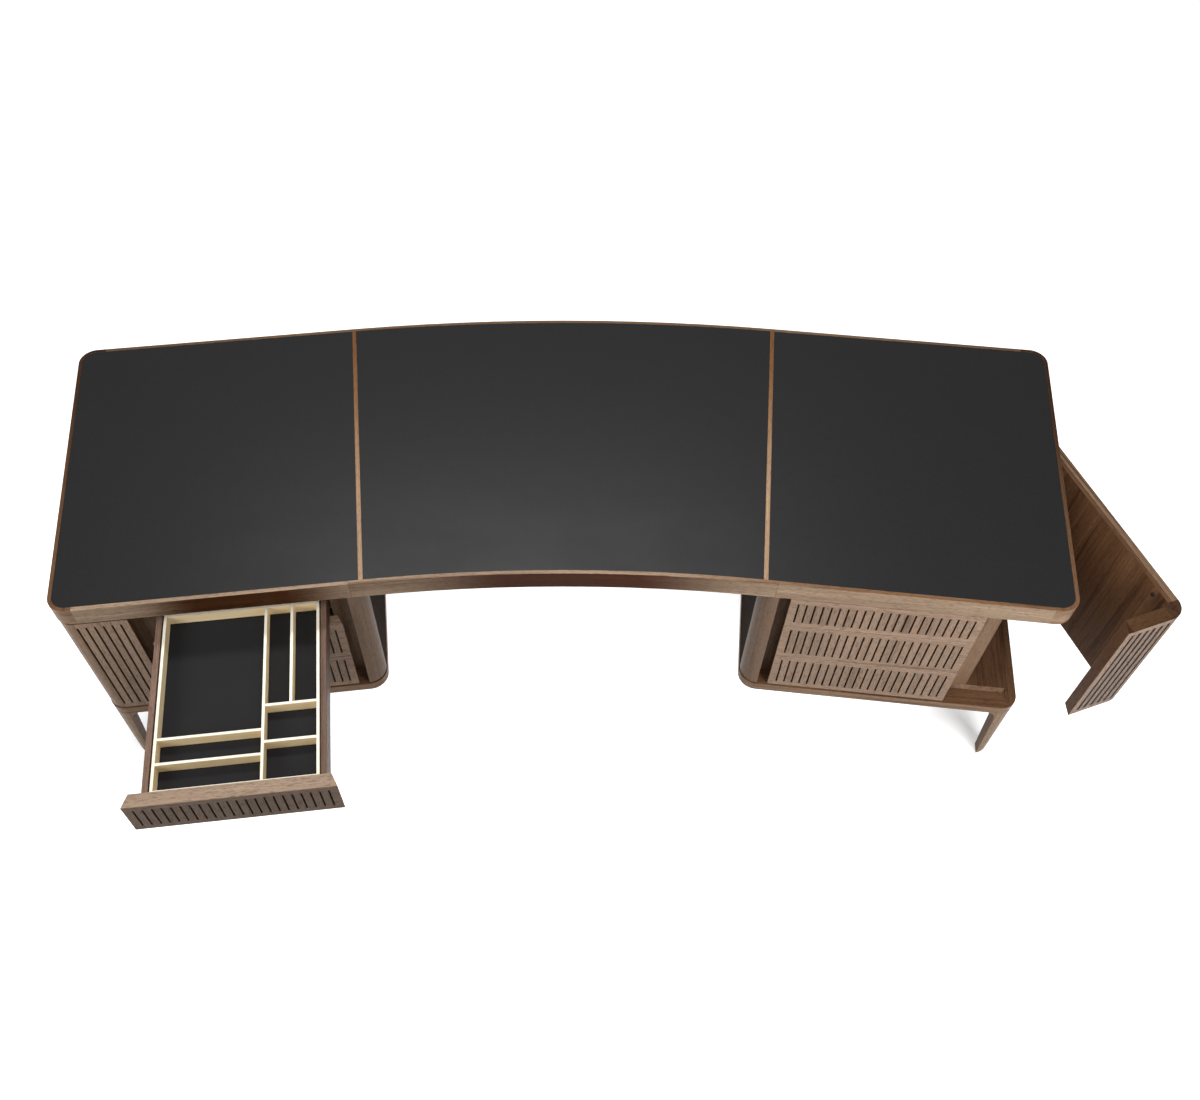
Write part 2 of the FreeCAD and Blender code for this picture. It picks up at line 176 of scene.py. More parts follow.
def makePlanGroup():
    # Across is measured on the wing from its divider strip; Part is -1, 0 or 1 from left to right
    tree, given, result = newGroup(
        "deskPlan",
        [("Vector", vectorSocket, (0, 0, 0))],
        [("Plan", vectorSocket), ("Across", valueSocket), ("Part", valueSocket)],
    )
    radius = deskPlan["frontRadius"]
    cosine = math.cos(deskPlan["wingAngle"])
    sine = math.sin(deskPlan["wingAngle"])
    place = split(tree, given["Vector"])
    side = calc(tree, "SIGN", place["X"])
    x = calc(tree, "ABSOLUTE", place["X"])
    y = calc(tree, "SUBTRACT", place["Y"], deskPlan["centreY"])
    angle = calc(tree, "ARCTAN2", x, y)
    reach = calc(tree, "SQRT", calc(tree, "MULTIPLY_ADD", x, x, calc(tree, "MULTIPLY", y, y)))
    onWing = calc(tree, "GREATER_THAN", angle, deskPlan["wingAngle"])
    across = calc(tree, "SUBTRACT", calc(tree, "MULTIPLY", x, cosine), calc(tree, "MULTIPLY", y, sine))
    wingDepth = calc(tree, "MULTIPLY_ADD", x, sine, calc(tree, "MULTIPLY", y, cosine))
    wingRun = calc(tree, "ADD", across, deskPlan["wingStart"])
    arcRun = calc(tree, "MULTIPLY", angle, radius)
    run = calc(tree, "MULTIPLY_ADD", onWing, calc(tree, "SUBTRACT", wingRun, arcRun), arcRun)
    depth = calc(tree, "MULTIPLY_ADD", onWing, calc(tree, "SUBTRACT", wingDepth, reach), reach)
    depth = calc(tree, "SUBTRACT", depth, radius)
    feed(tree, result["Plan"], join(tree, calc(tree, "MULTIPLY", run, side), depth, place["Z"]))
    feed(tree, result["Across"], across)
    feed(tree, result["Part"], calc(tree, "MULTIPLY", onWing, side))
    return tree


# Wood: fibres run along X of the vector that comes in

fibres = {
    # cells in a metre, along the fibres and across them
    "drift": (1.6, 3.0, 3.0),
    "figure": (0.8, 26.0, 26.0),
    "streak": (1.7, 110.0, 110.0),
    "hair": (9.0, 520.0, 520.0),
    "pore": (60.0, 1300.0, 1300.0),
    "fleck": (55.0, 330.0, 330.0),
    # ranges over which pores, flecks and the darker and lighter wood come in
    "poreBand": (0.58, 0.70),
    "fleckBand": (0.53, 0.68),
    "darkBand": (0.22, 0.5),
    "lightBand": (0.5, 0.78),
    "shares": {"figure": 0.42, "streak": 0.40, "hair": 0.18},
    "fleckDepth": 0.85,  # against a pore's
    "driftReach": (0.0, 0.03, 0.03),  # metres
    "seedSteps": (3.71, 1.93, 2.37),  # metres for a seed of 1
    "satin": (0.31, 0.42),  # roughness
    "poreRoughness": 0.25,  # added in the pores
}


def makeWoodGroup():
    tree, given, result = newGroup(
        "woodGrain",
        [
            ("Vector", vectorSocket, (0, 0, 0)),
            ("Seed", valueSocket, 0.0),
            ("Dark", colourSocket, (0.05, 0.03, 0.02, 1)),
            ("Mid", colourSocket, (0.2, 0.13, 0.09, 1)),
            ("Light", colourSocket, (0.3, 0.2, 0.14, 1)),
            ("Contrast", valueSocket, 1.0),
            ("Pores", valueSocket, 0.4),
        ],
        [("Color", colourSocket), ("Roughness", valueSocket), ("Height", valueSocket)],
    )
    shift = join(tree, *(calc(tree, "MULTIPLY", given["Seed"], step) for step in fibres["seedSteps"]))
    place = vectorCalc(tree, "ADD", given["Vector"], shift)
    # the fibres wander slowly as they run
    drift = noise(tree, place, fibres["drift"], detail=1.0, output="Color")
    drift = vectorCalc(tree, "SUBTRACT", drift, (0.5, 0.5, 0.5))
    drift = vectorCalc(tree, "MULTIPLY", drift, fibres["driftReach"])
    fibre = vectorCalc(tree, "ADD", place, drift)
    figure = noise(tree, fibre, fibres["figure"])
    streak = noise(tree, fibre, fibres["streak"], detail=3.0, roughness=0.6)
    hair = noise(tree, fibre, fibres["hair"], roughness=0.6)
    pore = ramp(tree, noise(tree, fibre, fibres["pore"], detail=1.0), *fibres["poreBand"])
    fleck = ramp(tree, noise(tree, fibre, fibres["fleck"], detail=1.0), *fibres["fleckBand"])
    pore = calc(tree, "MAXIMUM", pore, calc(tree, "MULTIPLY", fleck, fibres["fleckDepth"]))
    shares = fibres["shares"]
    tone = calc(tree, "MULTIPLY", streak, shares["streak"])
    tone = calc(tree, "MULTIPLY_ADD", figure, shares["figure"], tone)
    tone = calc(tree, "MULTIPLY_ADD", hair, shares["hair"], tone)
    tone = calc(tree, "MULTIPLY_ADD", calc(tree, "SUBTRACT", tone, 0.5), given["Contrast"], 0.5)
    colour = mixColour(tree, ramp(tree, tone, *fibres["darkBand"]), given["Dark"], given["Mid"])
    colour = mixColour(tree, ramp(tree, tone, *fibres["lightBand"]), colour, given["Light"])
    poreDepth = calc(tree, "MULTIPLY", pore, given["Pores"])
    feed(tree, result["Color"], mixColour(tree, poreDepth, colour, given["Dark"]))
    satin = ramp(tree, hair, *noiseBand, *fibres["satin"])
    feed(tree, result["Roughness"], calc(tree, "MULTIPLY_ADD", poreDepth, fibres["poreRoughness"], satin))
    feed(tree, result["Height"], calc(tree, "SUBTRACT", calc(tree, "MULTIPLY", hair, 0.5), poreDepth))
    return tree


hide = {  # cells in a metre, reach in metres
    "wobbleCells": (300, 300, 300),
    "wobbleReach": (0.0012, 0.0012, 0.0012),
    "pebbles": 620.0,
    "crease": (0.02, 0.22),
    "bloomCells": (5.0, 9.0, 5.0),
    "rubbedBand": (0.3, 0.75),
    "rubbing": 0.3,
    "roughness": (0.40, 0.35),  # matt and rubbed
}


def makeLeatherGroup():
    tree, given, result = newGroup(
        "leatherGrain",
        [
            ("Vector", vectorSocket, (0, 0, 0)),
            ("Deep", colourSocket, (0.01, 0.01, 0.011, 1)),
            ("Face", colourSocket, (0.02, 0.02, 0.021, 1)),
        ],
        [("Color", colourSocket), ("Roughness", valueSocket), ("Height", valueSocket)],
    )
    place = given["Vector"]
    wobble = noise(tree, place, hide["wobbleCells"], output="Color")
    wobble = vectorCalc(tree, "MULTIPLY", wobble, hide["wobbleReach"])
    pebbles = addNode(tree, "ShaderNodeTexVoronoi", feature="DISTANCE_TO_EDGE")
    feed(tree, pebbles.inputs["Vector"], vectorCalc(tree, "ADD", place, wobble))
    pebbles.inputs["Scale"].default_value = hide["pebbles"]
    crease = ramp(tree, pebbles.outputs["Distance"], *hide["crease"])
    bloom = noise(tree, place, hide["bloomCells"], detail=4.0, roughness=0.6)
    rubbed = ramp(tree, bloom, *hide["rubbedBand"])
    rubbed = calc(tree, "MULTIPLY_ADD", rubbed, hide["rubbing"], 1.0 - hide["rubbing"])
    shade = calc(tree, "MULTIPLY", crease, rubbed)
    feed(tree, result["Color"], mixColour(tree, shade, given["Deep"], given["Face"]))
    feed(tree, result["Roughness"], ramp(tree, bloom, *noiseBand, *hide["roughness"]))
    feed(tree, result["Height"], crease)
    return tree


# Joinery: slats between slots, mitres, glued strips

glueLine = {"half": 0.0003, "soft": 0.0009, "depth": 0.7}
slots = {
    "wall": (0.0006, 0.012),  # how far in from the face a slot's walls lie
    "beside": -0.004,  # and how far outside the slats' field they may lie
    "soft": (-0.0009, 0.0007),  # where an eased edge turns into the face
}


def seamLine(tree, distance):
    away = calc(tree, "ABSOLUTE", distance)
    return ramp(tree, away, glueLine["half"], glueLine["soft"], glueLine["depth"], 0.0)


def makeSlatGroup():
    # where the slats between the slots are, a tone for each, and painted shade on the slots' walls and on
    # the slats' eased edges
    places = ("Across", "Depth", "Height", "Face", "First", "Last", "Pitch", "Low", "High")
    tonesAndShade = ("Darkest", "Lightest", "Seed", "Ease")
    tree, given, result = valueGroup("slatTone", places + tonesAndShade, ("Inside", "Tone", "GrooveShade", "EdgeShade"))
    turns = calc(tree, "DIVIDE", calc(tree, "SUBTRACT", given["Across"], given["First"]), given["Pitch"])
    pick = addNode(tree, "ShaderNodeTexWhiteNoise", noise_dimensions="1D")
    feed(tree, pick.inputs["W"], calc(tree, "ADD", calc(tree, "FLOOR", turns), given["Seed"]))
    tone = ramp(tree, pick.outputs["Value"], 0.0, 1.0, given["Darkest"], given["Lightest"])
    fromSides = nearest(tree, given["Across"], given["First"], given["Last"])
    fromEnds = nearest(tree, given["Height"], given["Low"], given["High"])
    within = calc(tree, "MINIMUM", fromSides, fromEnds)
    inside = calc(tree, "MULTIPLY", given["Face"], calc(tree, "GREATER_THAN", within, 0.0))
    besideSlots = calc(tree, "GREATER_THAN", within, slots["beside"])
    sunk = calc(tree, "GREATER_THAN", nearest(tree, given["Depth"], *slots["wall"]), 0.0)
    halfway = calc(tree, "ABSOLUTE", calc(tree, "SUBTRACT", calc(tree, "FRACT", turns), 0.5))
    aside = calc(tree, "MULTIPLY", calc(tree, "SUBTRACT", 0.5, halfway), given["Pitch"])
    eased = ramp(tree, calc(tree, "SUBTRACT", aside, given["Ease"]), *slots["soft"], 1.0, 0.0)
    eased = calc(tree, "MULTIPLY", given["Face"], eased)
    alongSlots = calc(tree, "MULTIPLY", besideSlots, calc(tree, "GREATER_THAN", fromEnds, 0.0))
    feed(tree, result["Inside"], inside)
    feed(tree, result["Tone"], calc(tree, "MULTIPLY_ADD", inside, calc(tree, "SUBTRACT", tone, 1.0), 1.0))
    feed(tree, result["GrooveShade"], calc(tree, "MULTIPLY", sunk, besideSlots))
    feed(tree, result["EdgeShade"], calc(tree, "MULTIPLY", eased, alongSlots))
    return tree


def makeMitreGroup():
    # side rails meet front and back rails on the diagonals of the corners
    places = ("Across", "Depth", "Inner", "Outer", "Front", "Back")
    tree, given, result = valueGroup("mitreJoint", places, ("Side", "Seam"))
    fromSides = nearest(tree, given["Across"], given["Inner"], given["Outer"])
    fromEnds = nearest(tree, given["Depth"], given["Front"], given["Back"])
    gap = calc(tree, "SUBTRACT", fromEnds, fromSides)
    feed(tree, result["Side"], calc(tree, "GREATER_THAN", gap, 0.0))
    feed(tree, result["Seam"], seamLine(tree, gap))
    return tree


def makeStripGroup():
    # a strip along one edge, with the glue line beside it: other wood on the doors, painted shade on the
    # drawer boxes
    tree, given, result = valueGroup("edgeStrip", ("Across", "Face", "Line"), ("Strip", "Seam"))
    past = calc(tree, "SUBTRACT", given["Across"], given["Line"])
    feed(tree, result["Strip"], calc(tree, "MULTIPLY", given["Face"], calc(tree, "LESS_THAN", past, 0.0)))
    feed(tree, result["Seam"], calc(tree, "MULTIPLY", given["Face"], seamLine(tree, past)))
    return tree


planGroup = makePlanGroup()
woodGroup = makeWoodGroup()
leatherGroup = makeLeatherGroup()
slatGroup = makeSlatGroup()
mitreGroup = makeMitreGroup()
stripGroup = makeStripGroup()
print("node groups made")


# Materials

# seeds, and the steps between them, keep the grain of two pieces from matching
boardStep = 0.37
slatSeedStep = 31.0
squareOn = 0.7  # cosine from which a face counts as looking along an axis
fibreOrder = {"run": "XYZ", "depth": "YXZ", "rise": "ZXY"}  # the plan's axes, the fibres' first


def blankMaterial(name):
    material = bpy.data.materials.new(name)
    material.use_nodes = True
    tree = material.node_tree
    tree.nodes.clear()
    output = addNode(tree, "ShaderNodeOutputMaterial")
    return material, tree, output.inputs["Surface"]


def newMaterial(name):
    material, tree, surface = blankMaterial(name)
    shader = addNode(tree, "ShaderNodeBsdfPrincipled")
    feed(tree, surface, shader.outputs[0])
    return material, tree, shader.inputs


def planOf(tree, turn=None):
    # turn is (pivot, angle) of a door that stands open at rest
    coordinates = addNode(tree, "ShaderNodeTexCoord")
    place = coordinates.outputs["Object"]
    if turn:
        unturn = addNode(tree, "ShaderNodeVectorRotate", rotation_type="Z_AXIS")
        feed(tree, unturn.inputs["Vector"], place)
        unturn.inputs["Center"].default_value = turn[0]
        unturn.inputs["Angle"].default_value = turn[1]
        place = unturn.outputs[0]
    return placeGroup(tree, planGroup, Vector=place), coordinates.outputs["Normal"]


def grainAlong(tree, plan, grain):
    parts = split(tree, plan["Plan"])
    return join(tree, *(parts[axis] for axis in fibreOrder[grain]))


def facing(tree, normal, axis, way=0):
    # faces that look along an axis, one way or both
    lean = split(tree, normal)[axis]
    lean = calc(tree, "MULTIPLY", lean, way) if way else calc(tree, "ABSOLUTE", lean)
    return calc(tree, "GREATER_THAN", lean, squareOn)


def softBump(tree, shader, height, strength, distance, edge):
    # fine relief over edges that are eased by a radius in metres
    eased = addNode(tree, "ShaderNodeBevel", samples=4)
    eased.inputs["Radius"].default_value = edge
    bump = addNode(tree, "ShaderNodeBump")
    bump.inputs["Strength"].default_value = strength
    bump.inputs["Distance"].default_value = distance
    feed(tree, bump.inputs["Height"], height)
    feed(tree, bump.inputs["Normal"], eased.outputs[0])
    feed(tree, shader["Normal"], bump.outputs[0])


def slatSplit(tree, plan, normal, slats, seed):
    parts = split(tree, plan["Plan"])
    return placeGroup(
        tree,
        slatGroup,
        Across=plan["Across"],
        Depth=calc(tree, "SUBTRACT", parts["Y"], slats["plane"]),
        Height=parts["Z"],
        Face=facing(tree, normal, "Y"),
        First=slats["first"],
        Last=slats["first"] + slats["pitch"] * (slats["count"] - 1),
        Pitch=slats["pitch"],
        Low=slats["low"],
        High=slats["high"],
        Darkest=slats["darkest"],
        Lightest=slats["lightest"],
        Seed=seed * slatSeedStep,
        Ease=slats["ease"],
    )


def mitreSplit(tree, plan, mitre):
    return placeGroup(
        tree,
        mitreGroup,
        Across=plan["Across"],
        Depth=split(tree, plan["Plan"])["Y"],
        Inner=mitre["inner"],
        Outer=mitre["outer"],
        Front=mitre["front"],
        Back=mitre["back"],
    )


def boardSplit(tree, plan, boards, seed):
    # three boards end to end
    run = split(tree, plan["Plan"])["X"]
    past = calc(tree, "SUBTRACT", calc(tree, "ABSOLUTE", run), boards["half"])
    part = calc(tree, "MULTIPLY", calc(tree, "SIGN", run), calc(tree, "GREATER_THAN", past, 0.0))
    return calc(tree, "MULTIPLY_ADD", part, boardStep, seed), seamLine(tree, past)


def frontShadeTints(tree, plan, normal, frontShades):
    # dark, red painted shade that fades out along the front face of a board
    run = split(tree, plan["Plan"])["X"]
    face = facing(tree, normal, "Y")
    tints = []
    for frontShade in frontShades:
        away = calc(tree, "ABSOLUTE", calc(tree, "SUBTRACT", run, frontShade["run"]))
        amount = ramp(tree, away, frontShade["near"], frontShade["reach"], 1.0, 0.0)
        tints.append((calc(tree, "MULTIPLY", face, amount), frontShade["tint"]))
    return tints


def stripSplit(tree, plan, normal, lipping):
    face = facing(tree, normal, lipping["axis"])
    return placeGroup(tree, stripGroup, Across=plan["Across"], Face=face, Line=lipping["line"])


def shadeFadeTint(tree, plan, normal, shadeFade):
    # painted shade on upper faces, deepening along the run (X) or towards the back (Y)
    place = split(tree, plan["Plan"])[shadeFade["axis"]]
    amount = ramp(tree, place, shadeFade["start"], shadeFade["end"])
    return calc(tree, "MULTIPLY", amount, facing(tree, normal, "Z", 1)), shadeFade["tint"]


def faceTint(axis, way, tint):
    # way is 1 or -1 along the axis, or 0 for both
    return {"axis": axis, "way": way, "tint": tint}


def woodMaterial(name, wood, grain, seed, **finish):
    # ends and level name the grain of faces that look to the front or back, and up or down
    material, tree, shader = newMaterial(name)
    plan, normal = planOf(tree, finish.get("turn"))
    vector = grainAlong(tree, plan, grain)
    for axis, key in (("Y", "ends"), ("Z", "level")):
        if key in finish:
            other = grainAlong(tree, plan, finish[key])
            vector = mixVector(tree, facing(tree, normal, axis), vector, other)
    board = calc(tree, "MULTIPLY_ADD", plan["Part"], boardStep, seed)
    tints = []
    for face in finish.get("faces", ()):
        tints.append((facing(tree, normal, face["axis"], face["way"]), face["tint"]))
    seam = None
    slat = None
    if "slats" in finish:
        slat = slatSplit(tree, plan, normal, finish["slats"], seed)
        tints.append((slat["GrooveShade"], finish["slats"]["grooveShadeTint"]))
        tints.append((slat["EdgeShade"], finish["slats"]["edgeShadeTint"]))
        vector = mixVector(tree, slat["Inside"], vector, grainAlong(tree, plan, "rise"))
    if "mitre" in finish:
        joint = mitreSplit(tree, plan, finish["mitre"])
        seam = joint["Seam"]
        vector = mixVector(tree, joint["Side"], vector, grainAlong(tree, plan, "depth"))
    if "boards" in finish:
        board, seam = boardSplit(tree, plan, finish["boards"], seed)
        tints += frontShadeTints(tree, plan, normal, finish["boards"]["frontShades"])
    # lipping tints a strip of other wood, or paints shade along the drawer boxes' sides
    if "lipping" in finish:
        edge = stripSplit(tree, plan, normal, finish["lipping"])
        seam = edge["Seam"]
        tints.append((edge["Strip"], finish["lipping"]["tint"]))
    if "shadeFade" in finish:
        tints.append(shadeFadeTint(tree, plan, normal, finish["shadeFade"]))
    grainOut = placeGroup(
        tree,
        woodGroup,
        Vector=vector,
        Seed=board,
        Dark=wood["dark"],
        Mid=wood["mid"],
        Light=wood["light"],
        Contrast=wood["contrast"],
        Pores=wood["pores"],
    )
    colour = grainOut["Color"]
    if slat:
        colour = scaleColour(tree, colour, slat["Tone"])
    for amount, tint in tints:
        colour = mixColour(tree, amount, colour, tint, "MULTIPLY")
    if seam:
        colour = mixColour(tree, seam, colour, wood["dark"])
    feed(tree, shader["Base Color"], colour)
    feed(tree, shader["Roughness"], grainOut["Roughness"])
    shader["Specular IOR Level"].default_value = wood["specular"]
    softBump(tree, shader, grainOut["Height"], strength=0.2, distance=0.0004, edge=wood["edge"])
    return material


def leatherMaterial(name, look):
    material, tree, shader = newMaterial(name)
    place = addNode(tree, "ShaderNodeTexCoord").outputs["Object"]
    grainOut = placeGroup(tree, leatherGroup, Vector=place, Deep=look["deep"], Face=look["face"])
    feed(tree, shader["Base Color"], grainOut["Color"])
    feed(tree, shader["Roughness"], grainOut["Roughness"])
    shader["Specular IOR Level"].default_value = look["specular"]
    softBump(tree, shader, grainOut["Height"], look["relief"], distance=0.0003, edge=look["edge"])
    return material


def linerMaterial(look):
    material, tree, shader = newMaterial("blackLiner")
    place = addNode(tree, "ShaderNodeTexCoord").outputs["Object"]
    fuzz = noise(tree, place, look["fuzzCells"], detail=3.0, roughness=0.7)
    cloud = noise(tree, place, look["cloudCells"], detail=3.0)
    pile = calc(tree, "MULTIPLY", cloud, look["cloudShare"])
    pile = calc(tree, "MULTIPLY_ADD", fuzz, look["fuzzShare"], pile)
    colour = mixColour(tree, ramp(tree, pile, *noiseBand), look["deep"], look["face"])
    feed(tree, shader["Base Color"], colour)
    feed(tree, shader["Roughness"], ramp(tree, cloud, *noiseBand, *look["roughness"]))
    shader["Specular IOR Level"].default_value = look["specular"]
    softBump(tree, shader, fuzz, strength=0.4, distance=0.0004, edge=look["edge"])
    return material


def steelMaterial(look):
    material, tree, shader = newMaterial("zincSteel")
    drawn = grainAlong(tree, planOf(tree)[0], "depth")
    lines = noise(tree, drawn, look["lineCells"], detail=3.0, roughness=0.6)
    spangle = noise(tree, drawn, look["spangleCells"])
    mottled = calc(tree, "MULTIPLY_ADD", lines, 0.5, calc(tree, "MULTIPLY", spangle, 0.5))
    colour = mixColour(tree, ramp(tree, mottled, *noiseBand), look["dull"], look["bright"])
    feed(tree, shader["Base Color"], colour)
    shader["Metallic"].default_value = 1.0
    feed(tree, shader["Roughness"], ramp(tree, mottled, *noiseBand, *look["roughness"]))
    softBump(tree, shader, lines, strength=0.15, distance=0.0002, edge=look["edge"])
    return material


# the slatted fronts and posts are a greyer cut than the solid edges
paleWalnut = {
    "dark": (0.080, 0.048, 0.032, 1),
    "mid": (0.270, 0.184, 0.129, 1),
    "light": (0.370, 0.265, 0.192, 1),
    "contrast": 0.95,
    "pores": 0.6,
    "specular": 0.045,
    "edge": 0.0012,
}
walnut = {
    "dark": (0.070, 0.036, 0.020, 1),
    "mid": (0.210, 0.131, 0.080, 1),
    "light": (0.320, 0.212, 0.138, 1),
    "contrast": 1.6,
    "pores": 0.45,
    "specular": 0.045,
    "edge": 0.0012,
}
stripedWalnut = {**walnut, "contrast": 1.9}
# a tint multiplies the wood's colour; inside the carcass it is painted shade, darker and redder than
# outside
insideShadeTint = (0.58, 0.48, 0.41, 1)
# painted shade in the slots and on the slats' eased edges beside them
slotTints = {"grooveShadeTint": (0.34, 0.27, 0.23, 1), "edgeShadeTint": (0.26, 0.20, 0.165, 1)}


def placeOnWing(across, depth, out):
    # a point of a wing's plan in the desk's frame
    angle = deskPlan["wingAngle"]
    reach = deskPlan["frontRadius"] + depth
    x = across * math.cos(angle) + reach * math.sin(angle)
    y = deskPlan["centreY"] - across * math.sin(angle) + reach * math.cos(angle)
    return x * out, y


def slatsOn(node, slats, plane=0.0):
    low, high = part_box(node)
    return {**slats, "low": low.z + slats["margin"], "high": high.z - slats["margin"], "plane": plane}


def dress(node, material):
    mesh = nodes[node].data
    mesh.materials.clear()
    mesh.materials.append(material)


def dressWood(node, wood, grain, seed, **finish):
    dress(node, woodMaterial(f"walnut_{node}", wood, grain, seed, **finish))


# Top

deskTop = {
    "lipping": {**walnut, "mid": (0.257, 0.179, 0.120, 1), "light": (0.380, 0.280, 0.195, 1)},
    # painted sheen: the divider strips are painted paler than the walnut
    "strips": {**walnut, "mid": (0.30, 0.192, 0.114, 1), "light": (0.40, 0.27, 0.17, 1)},
    "boards": {
        "half": deskPlan["wingStart"] + 0.030,  # the joints lie just past the divider strips
        # painted shade on the front face, at the middle of the curve and above the open drawer
        "frontShades": (
            {"run": 0.02, "near": 0.15, "reach": 0.51, "tint": (0.16, 0.055, 0.015, 1)},
            {"run": -0.79, "near": 0.10, "reach": 0.31, "tint": (0.20, 0.11, 0.06, 1)},
        ),
    },
    # painted shade on upper faces: the front lip's top darker towards the right, the end lips and strips
    # darker towards the back
    "frontShadeFade": {"axis": "X", "start": 0.0, "end": 0.75, "tint": (0.60, 0.46, 0.36, 1)},
    "endShadeFade": {"axis": "Y", "start": 0.05, "end": 0.70, "tint": (0.40, 0.32, 0.26, 1)},
    "stripShadeFade": {"axis": "Y", "start": 0.12, "end": 0.80, "tint": (0.55, 0.40, 0.28, 1)},
    "backTint": (0.55, 0.46, 0.37, 1),
    "endTint": (0.58, 0.48, 0.40, 1),
    "seeds": {"front": 1.0, "back": 2.0, "ends": 3.0, "strips": 4.0, "core": 5.0},
    "leather": {
        "deep": (0.008, 0.008, 0.0085, 1),
        "face": (0.016, 0.016, 0.017, 1),
        "relief": 0.12,
        "specular": 0.10,
        "edge": 0.0015,
    },
}


def dressTop():
    lipping = deskTop["lipping"]
    seeds = deskTop["seeds"]
    frontFinish = {"boards": deskTop["boards"], "shadeFade": deskTop["frontShadeFade"]}
    backFaces = [faceTint("Z", 1, deskTop["backTint"])]
    endFaces = [faceTint("Z", 1, deskTop["endTint"])]
    endFinish = {"ends": "run", "faces": endFaces, "shadeFade": deskTop["endShadeFade"]}
    stripFinish = {"shadeFade": deskTop["stripShadeFade"]}
    dress("edge_front", woodMaterial("walnutEdgeFront", lipping, "run", seeds["front"], **frontFinish))
    dress("edge_back", woodMaterial("walnutEdgeBack", lipping, "run", seeds["back"], faces=backFaces))
    dress("edge_ends", woodMaterial("walnutEdgeEnds", walnut, "depth", seeds["ends"], **endFinish))
    strips = woodMaterial("walnutStrips", deskTop["strips"], "depth", seeds["strips"], **stripFinish)
    dress("divider_strips", strips)
    dress("top_core", woodMaterial("walnutUnderside", walnut, "run", seeds["core"]))
    writing = leatherMaterial("blackLeather", deskTop["leather"])
    for part in ("left", "centre", "right"):
        dress(f"leather_{part}", writing)
    print("top dressed")


# Pedestals

pedestal = {
    # painted shade inside the cupboards: on their floors, backs and outer sides
    "cupboardShadeTint": (0.46, 0.36, 0.32, 1),
    # painted shade on the legs' sides and painted light on their fronts
    "legSideShadeTint": (0.74, 0.67, 0.61, 1),
    "legFrontLightTint": (1.14, 1.20, 1.12, 1),
    "posts": {**paleWalnut, "pores": 0.35},
    # painted shade on the posts' upright faces, under the desk top
    "postShadeTint": (0.58, 0.54, 0.51, 1),
    "mitre": {"inner": -0.008, "outer": 0.754, "front": -0.002, "back": 0.877},
    # painted light: the cladding is the top's black leather painted paler, with no gloss
    "cladding": {
        **deskTop["leather"],
        "deep": (0.045, 0.038, 0.033, 1),
        "face": (0.110, 0.089, 0.077, 1),
        "specular": 0.0,
    },
    "seeds": {"left": 11.0, "right": 21.0},
    "pieceSeed": 0.7,
    "postSeed": 5.2,
    "baseSeed": 6.1,
}


def dressPedestal(side):
    out = sides[side]
    seed = pedestal["seeds"][side]
    cupboardShade = pedestal["cupboardShadeTint"]
    legFaces = [faceTint("X", 0, pedestal["legSideShadeTint"]), faceTint("Y", -1, pedestal["legFrontLightTint"])]
    pieces = {
        "floor_panel": (walnut, "depth", [faceTint("Z", 1, cupboardShade)]),
        "legs": (walnut, "rise", legFaces),
        "inner_wall": (walnut, "rise", [faceTint("X", out, insideShadeTint)]),
        "partition": (walnut, "rise", [faceTint("X", 0, insideShadeTint)]),
        "back_panel": (stripedWalnut, "rise", [faceTint("Y", -1, cupboardShade)]),
        "rear_side_panel": (walnut, "rise", [faceTint("X", -out, cupboardShade)]),
    }
    for i, (piece, (wood, grain, faces)) in enumerate(pieces.items()):
        dressWood(f"{side}_{piece}", wood, grain, seed + pedestal["pieceSeed"] * i, faces=faces)
    postFaces = [faceTint(axis, 0, pedestal["postShadeTint"]) for axis in "XY"]
    postSeed = seed + pedestal["postSeed"]
    dressWood(f"{side}_corner_posts", pedestal["posts"], "rise", postSeed, faces=postFaces)
    # painted shade on the base frame's upper faces, under the desk top
    baseFaces = [faceTint("Z", 1, insideShadeTint)]
    baseSeed = seed + pedestal["baseSeed"]
    dressWood(f"{side}_base_frame", walnut, "run", baseSeed, mitre=pedestal["mitre"], faces=baseFaces)
    dress(f"{side}_inner_cladding", leatherMaterial(f"{side}Cladding", pedestal["cladding"]))


# Drawers

drawers = {
    "rows": ("bottom", "middle", "top"),
    "slats": {
        "first": 0.09265,  # the middle of the first slot
        "pitch": 0.0207,
        "count": 22,
        "margin": 0.018,  # from the ends of the slots to the edges of the front
        "darkest": 0.80,
        "lightest": 0.98,
        "ease": 0.0025,
        **slotTints,
    },
    "open": "left_top_front",  # the one that stands open at rest
    "openOut": 0.504,
    # painted shade on the open front's face and painted light on its top
    "openFaceShadeTint": (0.80, 0.75, 0.71, 1),
    "openTopLightTint": (1.08, 1.13, 1.14, 1),
    "box": {
        **walnut,
        "dark": (0.060, 0.033, 0.022, 1),
        "mid": (0.160, 0.101, 0.073, 1),
        "light": (0.235, 0.155, 0.115, 1),
    },
    "boxSideShade": {"line": 0.102, "axis": "X", "tint": (0.42, 0.34, 0.30, 1)},  # painted shade on the sides towards the kneehole
    "seeds": {"left": 31.0, "right": 41.0},
    "rowSeed": 1.3,
    "boxSeed": 0.6,
}


def dressDrawers(side):
    for i, row in enumerate(drawers["rows"]):
        seed = drawers["seeds"][side] + drawers["rowSeed"] * i
        front = f"{side}_{row}_front"
        plane = 0.0
        faces = []
        if front == drawers["open"]:
            plane = -drawers["openOut"]
            faces = [faceTint("Y", -1, drawers["openFaceShadeTint"]), faceTint("Z", 1, drawers["openTopLightTint"])]
        slats = slatsOn(front, drawers["slats"], plane)
        dressWood(front, paleWalnut, "run", seed, slats=slats, faces=faces)
        box = f"{side}_{row}_box"
        boxSeed = seed + drawers["boxSeed"]
        dressWood(box, drawers["box"], "depth", boxSeed, ends="run", lipping=drawers["boxSideShade"])


# Doors, each with a black catch stud near the top of its inside

